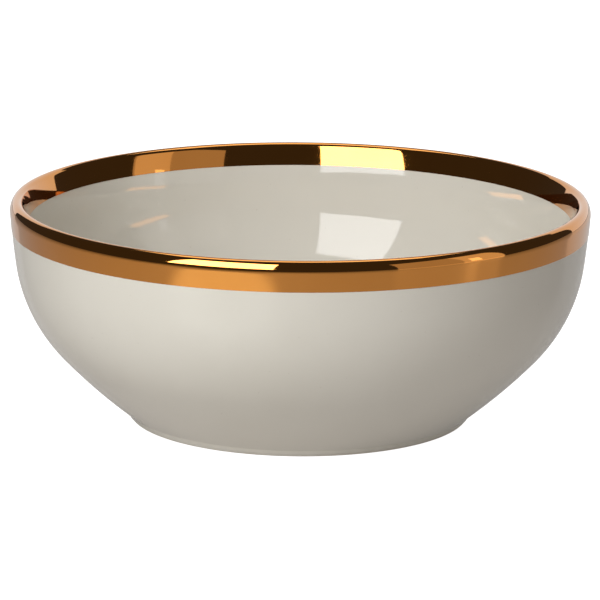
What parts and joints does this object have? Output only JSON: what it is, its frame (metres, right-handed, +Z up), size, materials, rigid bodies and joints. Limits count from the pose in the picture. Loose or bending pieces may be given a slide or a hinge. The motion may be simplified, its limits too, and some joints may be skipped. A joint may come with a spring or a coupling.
{
  "type": "serving bowl",
  "caption": "Round glazed porcelain serving bowl with a tight belly, low foot ring and flared lip under a broad mirror-gold band.",
  "frame": {"origin": "centre of the foot plane, on the bowl's axis", "axes": "+Z up along the bowl's axis of revolution; +X and +Y are equivalent by symmetry"},
  "size_m": [0.229, 0.229, 0.0875],
  "materials": {
    "bare_porcelain": "unglazed fired porcelain, fine matt tooth, seen only on the foot's standing face",
    "ivory_glaze": "clear gloss glaze over warm ivory-grey porcelain",
    "gold_lustre": "fired liquid bright gold, mirror polish"
  },
  "bodies": {
    "root": {"porcelain_body": "bare_porcelain", "inside_glaze": "ivory_glaze", "outside_glaze": "ivory_glaze", "base_glaze": "ivory_glaze", "gold_rim_band": "gold_lustre"}
  },
  "joints": []
}
